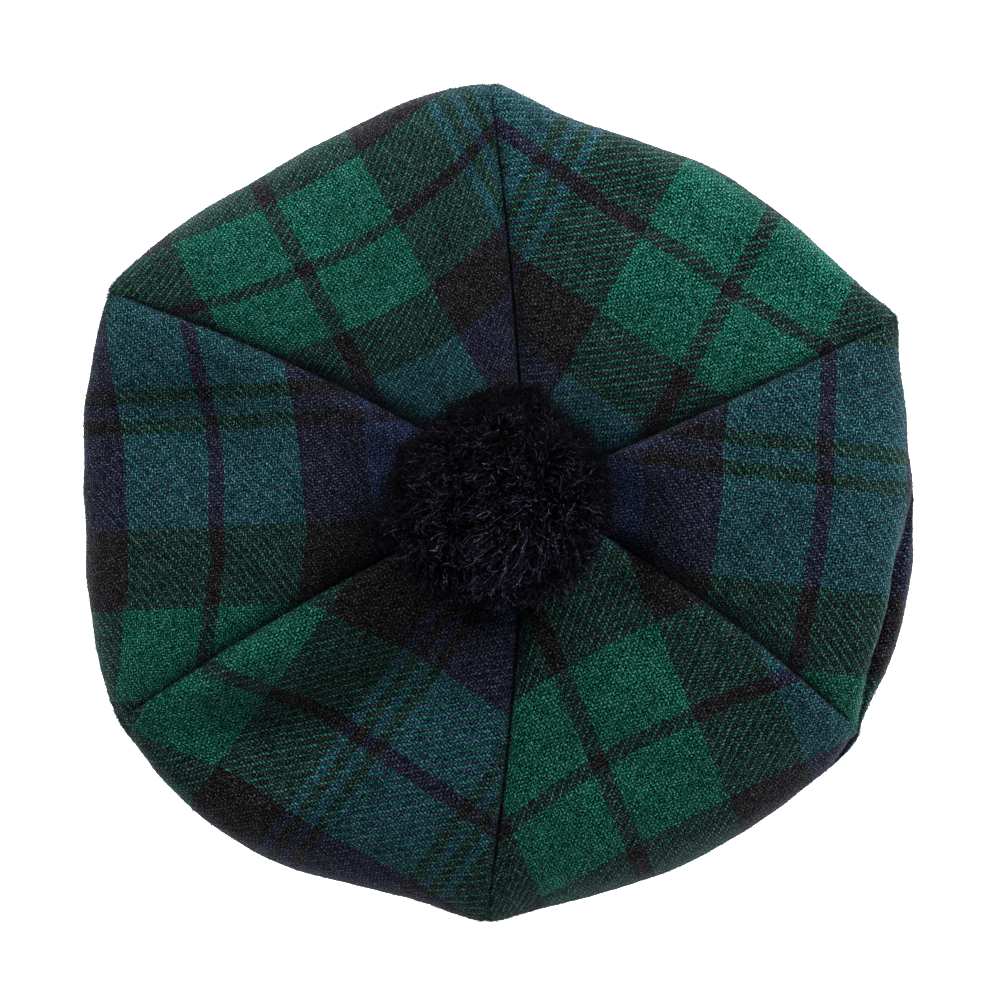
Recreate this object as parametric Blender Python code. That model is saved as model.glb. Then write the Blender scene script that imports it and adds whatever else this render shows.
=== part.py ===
# Tam o shanter: six one-piece gores of woollen twill, a headband and a toorie.
#
# Metres, +Z up. The hat lies on its headband on the plane z = 0, and the origin
# is under the middle of its footprint. +X is the hat's right, +Y its back.
# Each gore starts under the toorie, runs out over the rim and comes back below
# to the top of the headband. Tables are in millimetres, and MM makes them metres.

from collections import namedtuple
import math

import bmesh
import bpy
from mathutils import Vector

MM = 0.001

# Cloth
CLOTH = 1.7 * MM             # thickness of the woollen twill
CLEAR = 0.3 * MM             # gap left where two pieces touch

# Crown
APEX = Vector((8.9, 4.2, 0.0)) * MM      # where the seams meet, under the toorie
APEX_HOLE = 4.0 * MM         # radius at which the gores stop short of the apex
TOP_Z = 50.0 * MM            # height of the flat of the crown along a seam
DIMPLE = 4.0 * MM            # the toorie's tie pulls the apex down by this
DIMPLE_R = 18.0 * MM
PUFF = 4.0 * MM              # how far a panel stands above its seams
PUFF_LEAN = 0.8              # under 1 puts the most of it nearer the apex
VALLEY = 2.4 * MM            # the seam's own narrow furrow
VALLEY_R = 7.0 * MM
VALLEY_START = 0.25          # share of the way out where it has its full depth
ROUND_SEAM = 3.4             # how square the side profile is, on a seam
SAG_SEAM = 14.0 * MM         # lowest level of the underside on a seam
ROUND_UNDER = 3.0
UNDER_LEAN = 1.5             # over 1 keeps the underside low until near the band

# Headband
BAND_R = 90.0 * MM           # outer radius, for a head of about 56 cm
BAND_T = 2.5 * MM
BAND_H = 25.0 * MM
BAND_WAVE = 0.8 * MM         # the soft band isn't a true circle
BAND_LOBES = 3
BAND_SIDES = 60
HEM_OUT = 0.4 * MM           # the cloth turns level this far outside the band

# Toorie
TOORIE = Vector((-0.6, 2.6, 0.0)) * MM   # its middle in plan
TOORIE_Z = 20.0 * MM         # its middle above the apex
TOORIE_R = Vector((36.0, 34.0, 30.0)) * MM
HEAD_SHARE = 0.66            # the bound head is this share of the whole
LOCK_LOWEST = -0.42          # no lock points down more steeply than this
LOCK_MID = 0.78              # a lock is blunt, and widest at this share of its length
LOCK_FAT = 1.25              # where it is this much wider than at its root
LOCK_DROOP = 4.0 * MM        # the lock tips hang by this at the sides
LOCK_COMB = Vector((1.6, -2.0, 0.0)) * MM    # and are combed this way
LOCK_VARY = 0.05             # share by which the lengths differ
LOCK_WAVES = Vector((37.0, 53.0, 29.0))
PART_X = 17.0 * MM           # a parting runs down its right, this far from the middle
PART_SLANT = 0.3
PART_W = 5.0 * MM
PART_DEEP = 0.14             # as a share of the length
TUFT_TURN = 205.0            # a tuft stands out at the front left, in degrees
TUFT_WIDE = 22.0
TUFT_LONG = 0.16
TOORIE_CLEAR = 0.5 * MM
PANEL_REACH = 120.0 * MM     # from the apex to the rim along the shortest panel

# Mesh of a gore
COLUMNS = 10                 # across, from seam to seam
ROWS_TOP = 12                # from the apex to the rim
ROWS_UNDER = 8               # from the rim to the headband
STEP = 0.002                 # step along the cloth that its slopes are taken over

# One row for each seam, counter-clockwise from above.
# corner_x, corner_y, corner_z: where it goes over the rim; bow: how far its
# plan line swings counter-clockwise from straight.
Seam = namedtuple("Seam", "name corner_x corner_y corner_z bow")
SEAMS = (
    Seam("back_right", 134.1, 61.5, 24.0, -1.3),
    Seam("back", -2.7, 140.1, 23.0, -1.6),
    Seam("back_left", -131.1, 70.3, 25.0, -4.9),
    Seam("front_left", -127.9, -73.7, 24.0, -3.9),
    Seam("front", -4.0, -140.8, 23.0, 2.0),
    Seam("front_right", 121.7, -77.7, 22.0, 5.1),
)

# One row for each gore, from the seam of the same place in SEAMS to the next.
# rise: how far the rim swells past the straight line between its corners;
# peak: where, as a share of the way; full: under 1 is flat-topped, over 1 peaked;
# wave: how much more it swells in its first half than in its second; lobes: how much
# more near both corners than in the middle; drop: how much lower than its corners the
# rim hangs; sag: the underside's lowest level; square: how square the side profile is
# in the middle of the panel, where 2 is round.
Gore = namedtuple("Gore", "name rise peak full wave lobes drop sag square")
GORES = (
    Gore("gore_back_right", 11.2, 0.54, 0.64, 2.0, -2.1, 3.0, 11.0, 4.6),
    Gore("gore_back_left", 11.2, 0.52, 0.72, 0.5, 1.1, 4.0, 10.0, 4.4),
    Gore("gore_left", 11.6, 0.59, 0.95, 1.8, 0.9, 4.0, 9.0, 3.7),
    Gore("gore_front_left", 16.0, 0.55, 0.87, 4.0, -1.4, 6.0, 8.0, 4.2),
    Gore("gore_front_right", 12.7, 0.53, 0.70, -0.5, -0.9, 6.0, 7.5, 4.6),
    Gore("gore_right", 12.6, 0.51, 1.44, 2.2, 0.5, 5.0, 8.5, 6.0),
)

# Soft folds of the crown, as seen from above: middle, direction of the fold in
# degrees, half-length, half-width, and height (below zero is a hollow).
Fold = namedtuple("Fold", "x y turn length width height")
FOLDS = (
    Fold(-81.0, -53.0, 32.0, 36.0, 7.0, 2.0),
    Fold(-98.0, 52.0, 156.0, 32.0, 8.0, 1.8),
    Fold(97.0, -56.0, 145.0, 26.0, 7.0, 1.6),
    Fold(60.0, 78.0, 60.0, 30.0, 14.0, 2.0),
    Fold(-40.0, -100.0, 60.0, 26.0, 12.0, -1.8),
    Fold(48.0, -92.0, 115.0, 26.0, 13.0, 1.8),
    Fold(-52.0, 92.0, 120.0, 24.0, 12.0, -1.5),
)

# The crease at the front right, where the crown folds over a lower swell of the
# rim. first, last: shares of the gore's rim where it starts and ends.
Crease = namedtuple("Crease", "gore first last")
CREASES = (
    Crease("gore_right", -0.16, 0.62),
    Crease("gore_front_right", 0.66, 1.16),
)
CREASE_FADE = 0.26           # share of the rim over which it dies away
CREASE_IN = 7.2 * MM         # how far inside the outline it runs
CREASE_FOLD_Z = 34.0 * MM    # lowest level of the cloth above the crease
CREASE_SWELL = 10.0 * MM     # how far the swell below it stands up from the rim
CREASE_ROUND = 3.0

COLOURS = {
    "cloth": ((0.010, 0.050, 0.040, 1.0), 0.95),
    "band": ((0.008, 0.010, 0.020, 1.0), 0.95),
    "toorie": ((0.005, 0.006, 0.014, 1.0), 1.0),
}


def mix(a, b, share):
    return a + (b - a) * share


def smooth(x):
    x = min(max(x, 0.0), 1.0)
    return x * x * (3.0 - 2.0 * x)


def bell(x):
    return math.exp(-x * x)


def hump(u):
    # 0 on a gore's seams and 1 in its middle.
    return max(4.0 * u * (1.0 - u), 0.0)


def seam_corner(seam):
    return Vector((seam.corner_x, seam.corner_y, 0.0)) * MM


def rim_plan(index, u):
    # The outline from above at the share u of gore number index.
    gore = GORES[index]
    here = seam_corner(SEAMS[index])
    there = seam_corner(SEAMS[(index + 1) % len(SEAMS)])
    chord = mix(here, there, u)
    skewed = u ** (math.log(0.5) / math.log(gore.peak))
    swell = gore.rise * hump(skewed) ** gore.full
    swell += gore.wave * math.sin(2.0 * math.pi * u) + gore.lobes * math.sin(3.0 * math.pi * u)
    return chord + (chord - APEX).normalized() * (swell * MM)


def rim_height(index, u):
    here = SEAMS[index].corner_z
    there = SEAMS[(index + 1) % len(SEAMS)].corner_z
    return (mix(here, there, u) - GORES[index].drop * math.sqrt(hump(u))) * MM


def fold_height(x, y):
    # Sum of the soft folds at a point of the plan.
    total = 0.0
    for fold in FOLDS:
        turn = math.radians(fold.turn)
        dx = x / MM - fold.x
        dy = y / MM - fold.y
        along = dx * math.cos(turn) + dy * math.sin(turn)
        across = dy * math.cos(turn) - dx * math.sin(turn)
        total += fold.height * MM * bell(along / fold.length) * bell(across / fold.width)
    return total


def crease_share(index, u):
    # How full the crease is at a place on the rim, from 0 to 1.
    for crease in CREASES:
        if crease.gore == GORES[index].name:
            return smooth(min(u - crease.first, crease.last - u) / CREASE_FADE)
    return 0.0


def side_height(index, u, s, size, flat):
    # How the crown rounds down from its flat to the rim, with the crease in it.
    # size is the distance from the apex to the rim.
    low = rim_height(index, u)
    power = mix(ROUND_SEAM, GORES[index].square, hump(u))
    share = crease_share(index, u)
    inside = size * (1.0 - s)
    crease_in = CREASE_IN * share
    if inside < crease_in:
        past = 1.0 - inside / crease_in
        return low + CREASE_SWELL * share * math.sqrt(max(1.0 - past ** CREASE_ROUND, 0.0))
    fold = mix(low, CREASE_FOLD_Z, share)
    reach = size * s / (size - crease_in)
    return fold + (flat - fold) * math.sqrt(max(1.0 - reach ** power, 0.0))


def flat_level(u, s, width, radius):
    # Height of the crown's flat, before it rounds down to the rim.
    to_seam = min(u, 1.0 - u) * width * s
    furrow = VALLEY * math.exp(-to_seam / VALLEY_R) * smooth(s / VALLEY_START)
    puff = PUFF * hump(u) * math.sin(math.pi * s ** PUFF_LEAN)
    return TOP_Z + puff - furrow - DIMPLE * bell(radius / DIMPLE_R)


def top_point(index, u, s):
    # A point on the upper side: s runs from 0 at the apex to 1 at the rim.
    rim = rim_plan(index, u)
    out = rim - APEX
    bow = mix(SEAMS[index].bow, SEAMS[(index + 1) % len(SEAMS)].bow, u) * MM
    aside = Vector((-out.y, out.x, 0.0)).normalized()
    plan = APEX + out * s + aside * (bow * hump(s))
    width = (seam_corner(SEAMS[index]) - seam_corner(SEAMS[(index + 1) % len(SEAMS)])).length
    flat = flat_level(u, s, width, out.length * s) + fold_height(plan.x, plan.y)
    return Vector((plan.x, plan.y, side_height(index, u, s, out.length, flat)))


def band_radius(angle):
    return BAND_R + BAND_WAVE * math.sin(BAND_LOBES * angle)


def hem_point(index, u, share):
    # The hem lies level on the headband: share is 0 outside it, 1 at its inner face.
    rim = rim_plan(index, u)
    angle = math.atan2(rim.y, rim.x)
    reach = band_radius(angle) + mix(HEM_OUT, -BAND_T, share)
    return Vector((reach * math.cos(angle), reach * math.sin(angle), BAND_H + CLEAR))


def under_point(index, u, q):
    # A point on the underside: q runs from 1 at the rim to 0 at the headband.
    hem = hem_point(index, u, 0.0)
    plan = mix(hem, rim_plan(index, u), q)
    low = rim_height(index, u)
    sag = mix(SAG_SEAM, GORES[index].sag * MM, hump(u))
    level = mix(sag, hem.z, (1.0 - q) ** UNDER_LEAN)
    height = low - (low - level) * math.sqrt(max(1.0 - q ** ROUND_UNDER, 0.0))
    return Vector((plan.x, plan.y, height))


def crown_point(index, u, t):
    # t is 0 at the apex, 1 at the rim, 2 outside the headband and 3 inside it.
    if t <= 1.0:
        start = APEX_HOLE / (rim_plan(index, u) - APEX).length
        return top_point(index, u, mix(start, 1.0, math.sin(0.5 * math.pi * t)))
    if t <= 2.0:
        return under_point(index, u, math.cos(0.5 * math.pi * (t - 1.0)))
    return hem_point(index, u, t - 2.0)


def cloth_normal(index, u, t):
    # Outward normal of the cloth's outer face, by small steps along it.
    low_u, high_u = max(u - STEP, 0.0), min(u + STEP, 1.0)
    low_t, high_t = max(t - STEP, 0.0), min(t + STEP, 3.0)
    across = crown_point(index, high_u, t) - crown_point(index, low_u, t)
    along = crown_point(index, u, high_t) - crown_point(index, u, low_t)
    return along.cross(across).normalized()


def seam_frame(index, t):
    # On the seam where gore number index starts: a level line square to the
    # seam, pointing into that gore, and the seam's own outward normal.
    along = crown_point(index, 0.0, min(t + STEP, 3.0)) - crown_point(index, 0.0, max(t - STEP, 0.0))
    plan = seam_corner(SEAMS[index]) - APEX
    aside = Vector((-plan.y, plan.x, 0.0)).normalized()
    return aside, along.cross(aside).normalized()


def add_object(name, verts, faces, colour):
    mesh = bpy.data.meshes.new(name)
    mesh.from_pydata([tuple(v) for v in verts], [], faces)
    mesh.validate()
    mesh.shade_smooth()
    mesh.set_sharp_from_angle(angle=math.radians(50.0))
    thing = bpy.data.objects.new(name, mesh)
    bpy.context.scene.collection.objects.link(thing)
    thing.data.materials.append(make_material(name, *COLOURS[colour]))
    return thing


def make_material(name, colour, roughness):
    material = bpy.data.materials.new(name)
    material.use_nodes = True
    shader = material.node_tree.nodes["Principled BSDF"]
    shader.inputs["Base Color"].default_value = colour
    shader.inputs["Roughness"].default_value = roughness
    shader.inputs["Metallic"].default_value = 0.0
    return material


def make_gore(index):
    # Two grids, the cloth's outer and inner face, closed round their edge.
    columns = [0.5 - 0.5 * math.cos(math.pi * i / COLUMNS) for i in range(COLUMNS + 1)]
    rows = [i / ROWS_TOP for i in range(ROWS_TOP)]
    rows += [1.0 + i / ROWS_UNDER for i in range(ROWS_UNDER + 1)]
    rows.append(3.0)
    count_t = len(rows) - 1
    after = (index + 1) % len(SEAMS)
    outer = []
    inner = []
    for t in rows:
        first_aside, first_up = seam_frame(index, t)
        last_aside, last_up = seam_frame(after, t)
        for u in columns:
            shift = (first_aside * (1.0 - u) - last_aside * u) * (0.5 * CLEAR)
            point = crown_point(index, u, t) + shift
            up = cloth_normal(index, u, t)
            if u == columns[0]:
                up = first_up
            if u == columns[-1]:
                up = last_up
            outer.append(point)
            inner.append(point - up * CLOTH)
    wide = COLUMNS + 1
    half = len(outer)
    faces = []
    for row in range(count_t):
        for col in range(COLUMNS):
            a = row * wide + col
            b = a + 1
            c = a + wide + 1
            d = a + wide
            faces.append((a, d, c, b))
            faces.append((half + a, half + b, half + c, half + d))
    edge = [col for col in range(wide)]
    edge += [row * wide + COLUMNS for row in range(1, count_t + 1)]
    edge += [count_t * wide + col for col in range(COLUMNS - 1, -1, -1)]
    edge += [row * wide for row in range(count_t - 1, 0, -1)]
    for here, there in zip(edge, edge[1:] + edge[:1]):
        faces.append((here, there, half + there, half + here))
    return add_object(GORES[index].name, outer + inner, faces, "cloth")


def make_headband():
    # A plain standing ring of cloth with square edges.
    verts = []
    for i in range(BAND_SIDES):
        angle = 2.0 * math.pi * i / BAND_SIDES
        out = band_radius(angle)
        for radius, height in ((out, 0.0), (out, BAND_H), (out - BAND_T, BAND_H), (out - BAND_T, 0.0)):
            verts.append((radius * math.cos(angle), radius * math.sin(angle), height))
    faces = []
    for i in range(BAND_SIDES):
        here = 4 * i
        there = 4 * ((i + 1) % BAND_SIDES)
        for corner in range(4):
            after = (corner + 1) % 4
            faces.append((here + corner, there + corner, there + after, here + after))
    return add_object("headband", verts, faces, "band")


def toorie_floor(x, y):
    # The toorie stays above this: the crown's flat, along the middle of the
    # narrowest panel, where it is highest.
    radius = math.hypot(x - APEX.x, y - APEX.y)
    share = min(radius / PANEL_REACH, 0.5)
    return flat_level(0.5, share, 2.0 * PANEL_REACH, radius) + TOORIE_CLEAR


def lock_point(direction, share):
    # A point at a share of the way from the toorie's middle to its outer form.
    middle = Vector((TOORIE.x, TOORIE.y, TOP_Z - DIMPLE + TOORIE_Z))
    point = middle + Vector(d * r for d, r in zip(direction, TOORIE_R)) * share
    past = max(share - HEAD_SHARE, 0.0) / (1.0 - HEAD_SHARE)
    side = 1.0 - direction.z * direction.z
    point.z -= LOCK_DROOP * side * past * past
    point += LOCK_COMB * (past * past)
    point.z = max(point.z, toorie_floor(point.x, point.y))
    return point


def lock_length(axis):
    # Share of the outer form that a lock reaches, by where it stands.
    length = 1.0 + LOCK_VARY * math.sin(LOCK_WAVES.dot(axis))
    aside = axis.x * TOORIE_R.x - PART_X - PART_SLANT * axis.y * TOORIE_R.y
    length -= PART_DEEP * bell(aside / PART_W) * smooth(axis.z)
    turn = math.degrees(math.atan2(axis.y, axis.x)) % 360.0
    length += TUFT_LONG * bell((turn - TUFT_TURN) / TUFT_WIDE) * (1.0 - abs(axis.z))
    return length


def make_toorie():
    # The head is a ball of five- and six-sided cells, the dual of an icosphere.
    # A pointed lock stands on each cell that doesn't face the crown.
    ball = bmesh.new()
    bmesh.ops.create_icosphere(ball, subdivisions=3, radius=1.0)
    ball.faces.ensure_lookup_table()
    ball.verts.ensure_lookup_table()
    directions = [face.calc_center_median().normalized() for face in ball.faces]
    verts = [lock_point(d, HEAD_SHARE) for d in directions]
    faces = []
    for vert in ball.verts:
        axis = vert.co.normalized()
        right = axis.orthogonal().normalized()
        back = axis.cross(right)
        cell = [face.index for face in vert.link_faces]
        cell.sort(key=lambda i: math.atan2(directions[i].dot(back), directions[i].dot(right)))
        if axis.z < LOCK_LOWEST:
            faces.append(tuple(cell))
            continue
        length = lock_length(axis)
        middle_share = mix(HEAD_SHARE, length, LOCK_MID)
        first = len(verts)
        for i in cell:
            spread = mix(axis, directions[i], LOCK_FAT * HEAD_SHARE / middle_share)
            verts.append(lock_point(spread.normalized(), middle_share))
        tip = len(verts)
        verts.append(lock_point(axis, length))
        for k in range(len(cell)):
            after = (k + 1) % len(cell)
            faces.append((cell[k], cell[after], first + after, first + k))
            faces.append((first + k, first + after, tip))
    ball.free()
    return add_object("toorie", verts, faces, "toorie")


def main():
    for thing in list(bpy.data.objects):
        bpy.data.objects.remove(thing, do_unlink=True)
    for index in range(len(GORES)):
        make_gore(index)
    make_headband()
    make_toorie()


main()
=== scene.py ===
# Tam o shanter in a green, blue and black tartan twill, seen from straight above.
# Blender 4.5. Everything is in metres, and mm turns the sizes below into them.
import bpy
import math
import numpy as np
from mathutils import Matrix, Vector


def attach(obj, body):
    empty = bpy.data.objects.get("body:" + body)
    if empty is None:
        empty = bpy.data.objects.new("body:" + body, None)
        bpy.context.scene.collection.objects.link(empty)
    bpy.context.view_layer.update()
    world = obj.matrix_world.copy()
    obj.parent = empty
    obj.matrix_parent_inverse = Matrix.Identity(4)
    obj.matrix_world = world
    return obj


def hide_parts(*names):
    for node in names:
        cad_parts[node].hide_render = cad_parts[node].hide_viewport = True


mm = 0.001
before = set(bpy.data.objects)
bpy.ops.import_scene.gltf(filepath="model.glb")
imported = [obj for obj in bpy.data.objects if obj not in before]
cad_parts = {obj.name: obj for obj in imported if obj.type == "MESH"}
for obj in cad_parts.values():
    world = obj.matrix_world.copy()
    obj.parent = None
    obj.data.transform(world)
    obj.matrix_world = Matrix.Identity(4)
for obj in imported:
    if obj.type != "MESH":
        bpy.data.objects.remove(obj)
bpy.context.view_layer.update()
print("frame loaded:", ", ".join(sorted(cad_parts)))


# small helpers

def mix(a, b, share):
    return a + (b - a) * share


def smooth(x):
    x = np.clip(x, 0.0, 1.0)
    return x * x * (3.0 - 2.0 * x)


def bell(x):
    return np.exp(-x * x)


def hump(u):
    return np.maximum(4.0 * u * (1.0 - u), 0.0)      # 0 on a gore's seams, 1 in its middle


def unit(v):
    return v / np.maximum(np.linalg.norm(v, axis=-1, keepdims=True), 1e-12)


def softNoise(points, size, seed):
    # Smooth noise between -1 and 1 in space: a few crossed sine waves about size long.
    dice = np.random.default_rng(seed)
    total = np.zeros(points.shape[:-1])
    waves = 9
    for k in range(waves):
        way = unit(dice.normal(size=3)) * (2.0 * math.pi / size) * dice.uniform(0.6, 1.5)
        total += np.sin(points @ way + dice.uniform(0.0, 2.0 * math.pi))
    return total / math.sqrt(waves)


def addPiece(name, verts, faces, material, stands=(), maps=None):
    # faces is a list of arrays, each with one width: triangles, quads and so on.
    # maps holds a number pair for each vertex under the name of its UV map.
    mesh = bpy.data.meshes.new(name)
    verts = np.asarray(verts, np.float32)
    corners = np.concatenate([f.ravel() for f in faces]).astype(np.int32)
    sizes = np.concatenate([np.full(len(f), f.shape[1]) for f in faces])
    mesh.vertices.add(len(verts))
    mesh.vertices.foreach_set("co", verts.ravel())
    mesh.loops.add(len(corners))
    mesh.loops.foreach_set("vertex_index", corners)
    mesh.polygons.add(len(sizes))
    starts = np.concatenate([[0], np.cumsum(sizes)[:-1]])
    mesh.polygons.foreach_set("loop_start", starts.astype(np.int32))
    mesh.update(calc_edges=True)
    mesh.validate()
    mesh.shade_smooth()
    for label, pairs in (maps or {}).items():
        layer = mesh.uv_layers.new(name=label)
        layer.data.foreach_set("uv", np.asarray(pairs, np.float32)[corners].ravel())
    mesh.materials.append(material)
    piece = bpy.data.objects.new(name, mesh)
    bpy.context.scene.collection.objects.link(piece)
    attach(piece, "root")
    if stands:
        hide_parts(*stands)
    return piece


# materials

def srgb(code):
    # A hex colour as linear red, green, blue and alpha.
    parts = [int(code[i:i + 2], 16) / 255.0 for i in (1, 3, 5)]
    linear = [c / 12.92 if c <= 0.04045 else ((c + 0.055) / 1.055) ** 2.4 for c in parts]
    return (*linear, 1.0)


def newMaterial(name):
    material = bpy.data.materials.new(name)
    material.use_nodes = True
    tree = material.node_tree
    tree.nodes.clear()
    return material, tree


def addNode(tree, kind, settings=None, links=None):
    # Adds one node. settings name its own properties, and links its inputs, by number
    # or name: each is another node, one of its outputs, or a fixed value.
    node = tree.nodes.new("ShaderNode" + kind)
    for key, value in (settings or {}).items():
        setattr(node, key, value)
    for key, value in (links or {}).items():
        if isinstance(value, bpy.types.Node):
            value = next(socket for socket in value.outputs if socket.enabled)
        if isinstance(value, bpy.types.NodeSocket):
            tree.links.new(value, node.inputs[key])
        else:
            node.inputs[key].default_value = value
    return node


# The tartan. Widths are counts of threads from one pivot stripe to the other, and
# the run is mirrored at both: blue, black, blue, black, green, black, green, ...
twill = {
    "sett": "B3 K5 B35 K29 G33 K6 G33 K29 B4 K4 B4 K4 B17",
    "middleStripe": 108.0,       # the number of the thread in the middle of the black in the green
    "green": "#06584a", "blue": "#273152", "black": "#1c181b",
    "paintedHighlight": "#9a9ea3",          # the colour of the painted highlights on the pale ends of fibres, which show most on the paler yarns
    "yarnHeight": 0.22,          # mm, how far a thread stands up from the cloth
    "wander": 1.2,               # how far yarns stray, in threads
    "nap": 1.4,                  # how ragged the nap makes the edges of the yarns
    "cover": 1.2,                # the black yarn is fuller, and shows more wherever it crosses
    "mixed": 0.16,               # how much colour the fibres of the yarn below lend
    "grain": 5.6,                # how much one tuft of fibre differs from the next
    "floats": 0.5,               # and one float of a yarn from the next
    "tuft": (2.6, 1.4),          # tufts to a thread's width, across the yarn and along it
    "gap": 0.2,                  # how dark the painted shade in the gaps between yarns is
    "full": 4.2,                 # how light the lightest fibres are, against the dye
    "flecks": (0.22, 1.0, 0.95),  # lightness where the painted highlight starts and is full, and how strong it is
    "paintedHighlightOnGreen": (1.5, 0.48),  # how much more of the painted highlight shows the more green the dye has
    "relief": 1.6,               # how far tufts stand up, in threads' heights
}


def tartanTwill():
    # Woollen 2/2 twill, woven and lightly milled: soft round yarns in fine diagonals
    # under a short nap, flecked dark and pale, with painted shade between the yarns and painted
    # highlights on the palest fibres, dull, with a bloom where it turns away.
    material, tree = newMaterial("milled_woollen_twill")
    threads = addNode(tree, "UVMap", {"uv_map": "threads"})
    # yarns stray a little, so the numbers of warp and weft drift from a true grid
    drift = addNode(tree, "TexNoise", {"noise_dimensions": "2D"},
                    {"Vector": threads, "Scale": 0.35, "Detail": 3.0})
    drift = addNode(tree, "VectorMath", {"operation": "SUBTRACT"},
                    {0: drift.outputs["Color"], 1: (0.5, 0.5, 0.5)})
    place = addNode(tree, "VectorMath", {"operation": "MULTIPLY_ADD"},
                    {0: drift, 1: (twill["wander"], twill["wander"], 0.0), 2: threads})
    split = addNode(tree, "SeparateXYZ", links={0: place})
    turned = addNode(tree, "CombineXYZ", links={0: split.outputs[1], 1: split.outputs[0]})
    number = addNode(tree, "VectorMath", {"operation": "FLOOR"}, {0: place})
    # X holds the warp and Y the weft: each yarn has a round back, and it rises over
    # two threads of the other system and dives under two
    within = addNode(tree, "VectorMath", {"operation": "FRACTION"}, {0: place})
    half = addNode(tree, "VectorMath", {"operation": "MULTIPLY"},
                   {0: within, 1: (math.pi, math.pi, 0.0)})
    back = addNode(tree, "VectorMath", {"operation": "SINE"}, {0: half})
    phase = addNode(tree, "VectorMath", {"operation": "ADD"}, {0: number, 1: turned})
    quarter = addNode(tree, "VectorMath", {"operation": "MULTIPLY"},
                      {0: phase, 1: (math.pi / 2.0, math.pi / 2.0, 0.0)})
    wave = addNode(tree, "VectorMath", {"operation": "SINE"}, {0: quarter})
    back = addNode(tree, "VectorMath", {"operation": "MULTIPLY"}, {0: back, 1: back})
    top = addNode(tree, "VectorMath", {"operation": "MULTIPLY_ADD"},
                  {0: wave, 1: (1.0, -1.0, 0.0), 2: back})
    tops = addNode(tree, "SeparateXYZ", links={0: top})
    height = addNode(tree, "Math", {"operation": "MAXIMUM"}, {0: tops.outputs[0], 1: tops.outputs[1]})
    # which stripe each yarn belongs to, and how black it is
    numbers = addNode(tree, "SeparateXYZ", links={0: number})
    stripes = [(s[0], int(s[1:])) for s in twill["sett"].split()]
    length = sum(count for _, count in stripes)
    colours = {"K": srgb(twill["black"]), "B": srgb(twill["blue"]), "G": srgb(twill["green"])}
    yarns, darks = [], []
    for system in range(2):
        middle = addNode(tree, "Math", {"operation": "ADD"}, {0: numbers.outputs[system], 1: 0.5})
        folded = addNode(tree, "Math", {"operation": "PINGPONG"}, {0: middle, 1: float(length)})
        share = addNode(tree, "Math", {"operation": "DIVIDE"}, {0: folded, 1: float(length)})
        ramp = addNode(tree, "ValToRGB", links={0: share})
        ramp.color_ramp.interpolation = "CONSTANT"
        stops = ramp.color_ramp.elements
        done = 0
        for k, (letter, count) in enumerate(stripes):
            stop = stops[k] if k < 2 else stops.new(done / length)
            stop.position = done / length
            stop.color = colours[letter]
            done += count
        yarns.append(ramp)
        channels = addNode(tree, "SeparateColor", links={0: ramp})
        # only the black yarn has so little blue in it
        darks.append(addNode(tree, "MapRange",
                             links={0: channels.outputs["Blue"], 1: 0.012, 2: 0.05, 3: 1.0, 4: 0.0}))
    # the nap: fibres that cross the edges of the yarns
    lead = addNode(tree, "Math", {"operation": "SUBTRACT"}, {0: tops.outputs[0], 1: tops.outputs[1]})
    nap = addNode(tree, "TexNoise", {"noise_dimensions": "2D"},
                  {"Vector": threads, "Scale": 1.9, "Detail": 2.0})
    nap = addNode(tree, "Math", {"operation": "SUBTRACT"}, {0: nap, 1: 0.5})
    lead = addNode(tree, "Math", {"operation": "MULTIPLY_ADD"},
                   {0: nap, 1: 4.0 * twill["nap"], 2: lead})
    fuller = addNode(tree, "Math", {"operation": "SUBTRACT"}, {0: darks[0], 1: darks[1]})
    lead = addNode(tree, "Math", {"operation": "MULTIPLY_ADD"},
                   {0: fuller, 1: twill["cover"], 2: lead})
    warpShows = addNode(tree, "Math", {"operation": "GREATER_THAN"}, {0: lead, 1: 0.0})
    blend = addNode(tree, "MapRange", links={0: warpShows, 3: twill["mixed"], 4: 1.0 - twill["mixed"]})
    dyed = addNode(tree, "Mix", {"data_type": "RGBA"}, {0: blend, 6: yarns[1], 7: yarns[0]})
    # each float of a yarn is a little lighter or darker than the next
    floats = addNode(tree, "VectorMath", {"operation": "MULTIPLY_ADD"},
                     {0: phase, 1: (0.25, 0.25, 0.0), 2: (0.0, 0.5, 0.0)})
    floats = addNode(tree, "VectorMath", {"operation": "FLOOR"}, {0: floats})
    counts = addNode(tree, "SeparateXYZ", links={0: floats})
    warpCell = addNode(tree, "CombineXYZ", links={0: numbers.outputs[0], 1: counts.outputs[0]})
    weftCell = addNode(tree, "CombineXYZ", links={0: counts.outputs[1], 1: numbers.outputs[1], 2: 7.0})
    cell = addNode(tree, "Mix", {"data_type": "VECTOR"}, {0: warpShows, 4: weftCell, 5: warpCell})
    tone = addNode(tree, "TexWhiteNoise", {"noise_dimensions": "3D"}, {"Vector": cell})
    # tufts of fibre lie along their yarn, about a third of a millimetre wide
    fine, coarse = twill["tuft"]
    alongWarp = addNode(tree, "VectorMath", {"operation": "MULTIPLY"},
                        {0: threads, 1: (fine, coarse, 1.0)})
    alongWeft = addNode(tree, "VectorMath", {"operation": "MULTIPLY"},
                        {0: threads, 1: (coarse, fine, 1.0)})
    run = addNode(tree, "Mix", {"data_type": "VECTOR"}, {0: warpShows, 4: alongWeft, 5: alongWarp})
    tufts = addNode(tree, "TexNoise", {"noise_dimensions": "2D"},
                    {"Vector": run, "Scale": 1.0, "Detail": 1.5, "Roughness": 0.8})
    lit = addNode(tree, "Math", {"operation": "MULTIPLY_ADD"},
                  {0: tufts, 1: twill["grain"], 2: -0.5 * (twill["grain"] + twill["floats"])})
    lit = addNode(tree, "Math", {"operation": "MULTIPLY_ADD"}, {0: tone, 1: twill["floats"], 2: lit})
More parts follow.
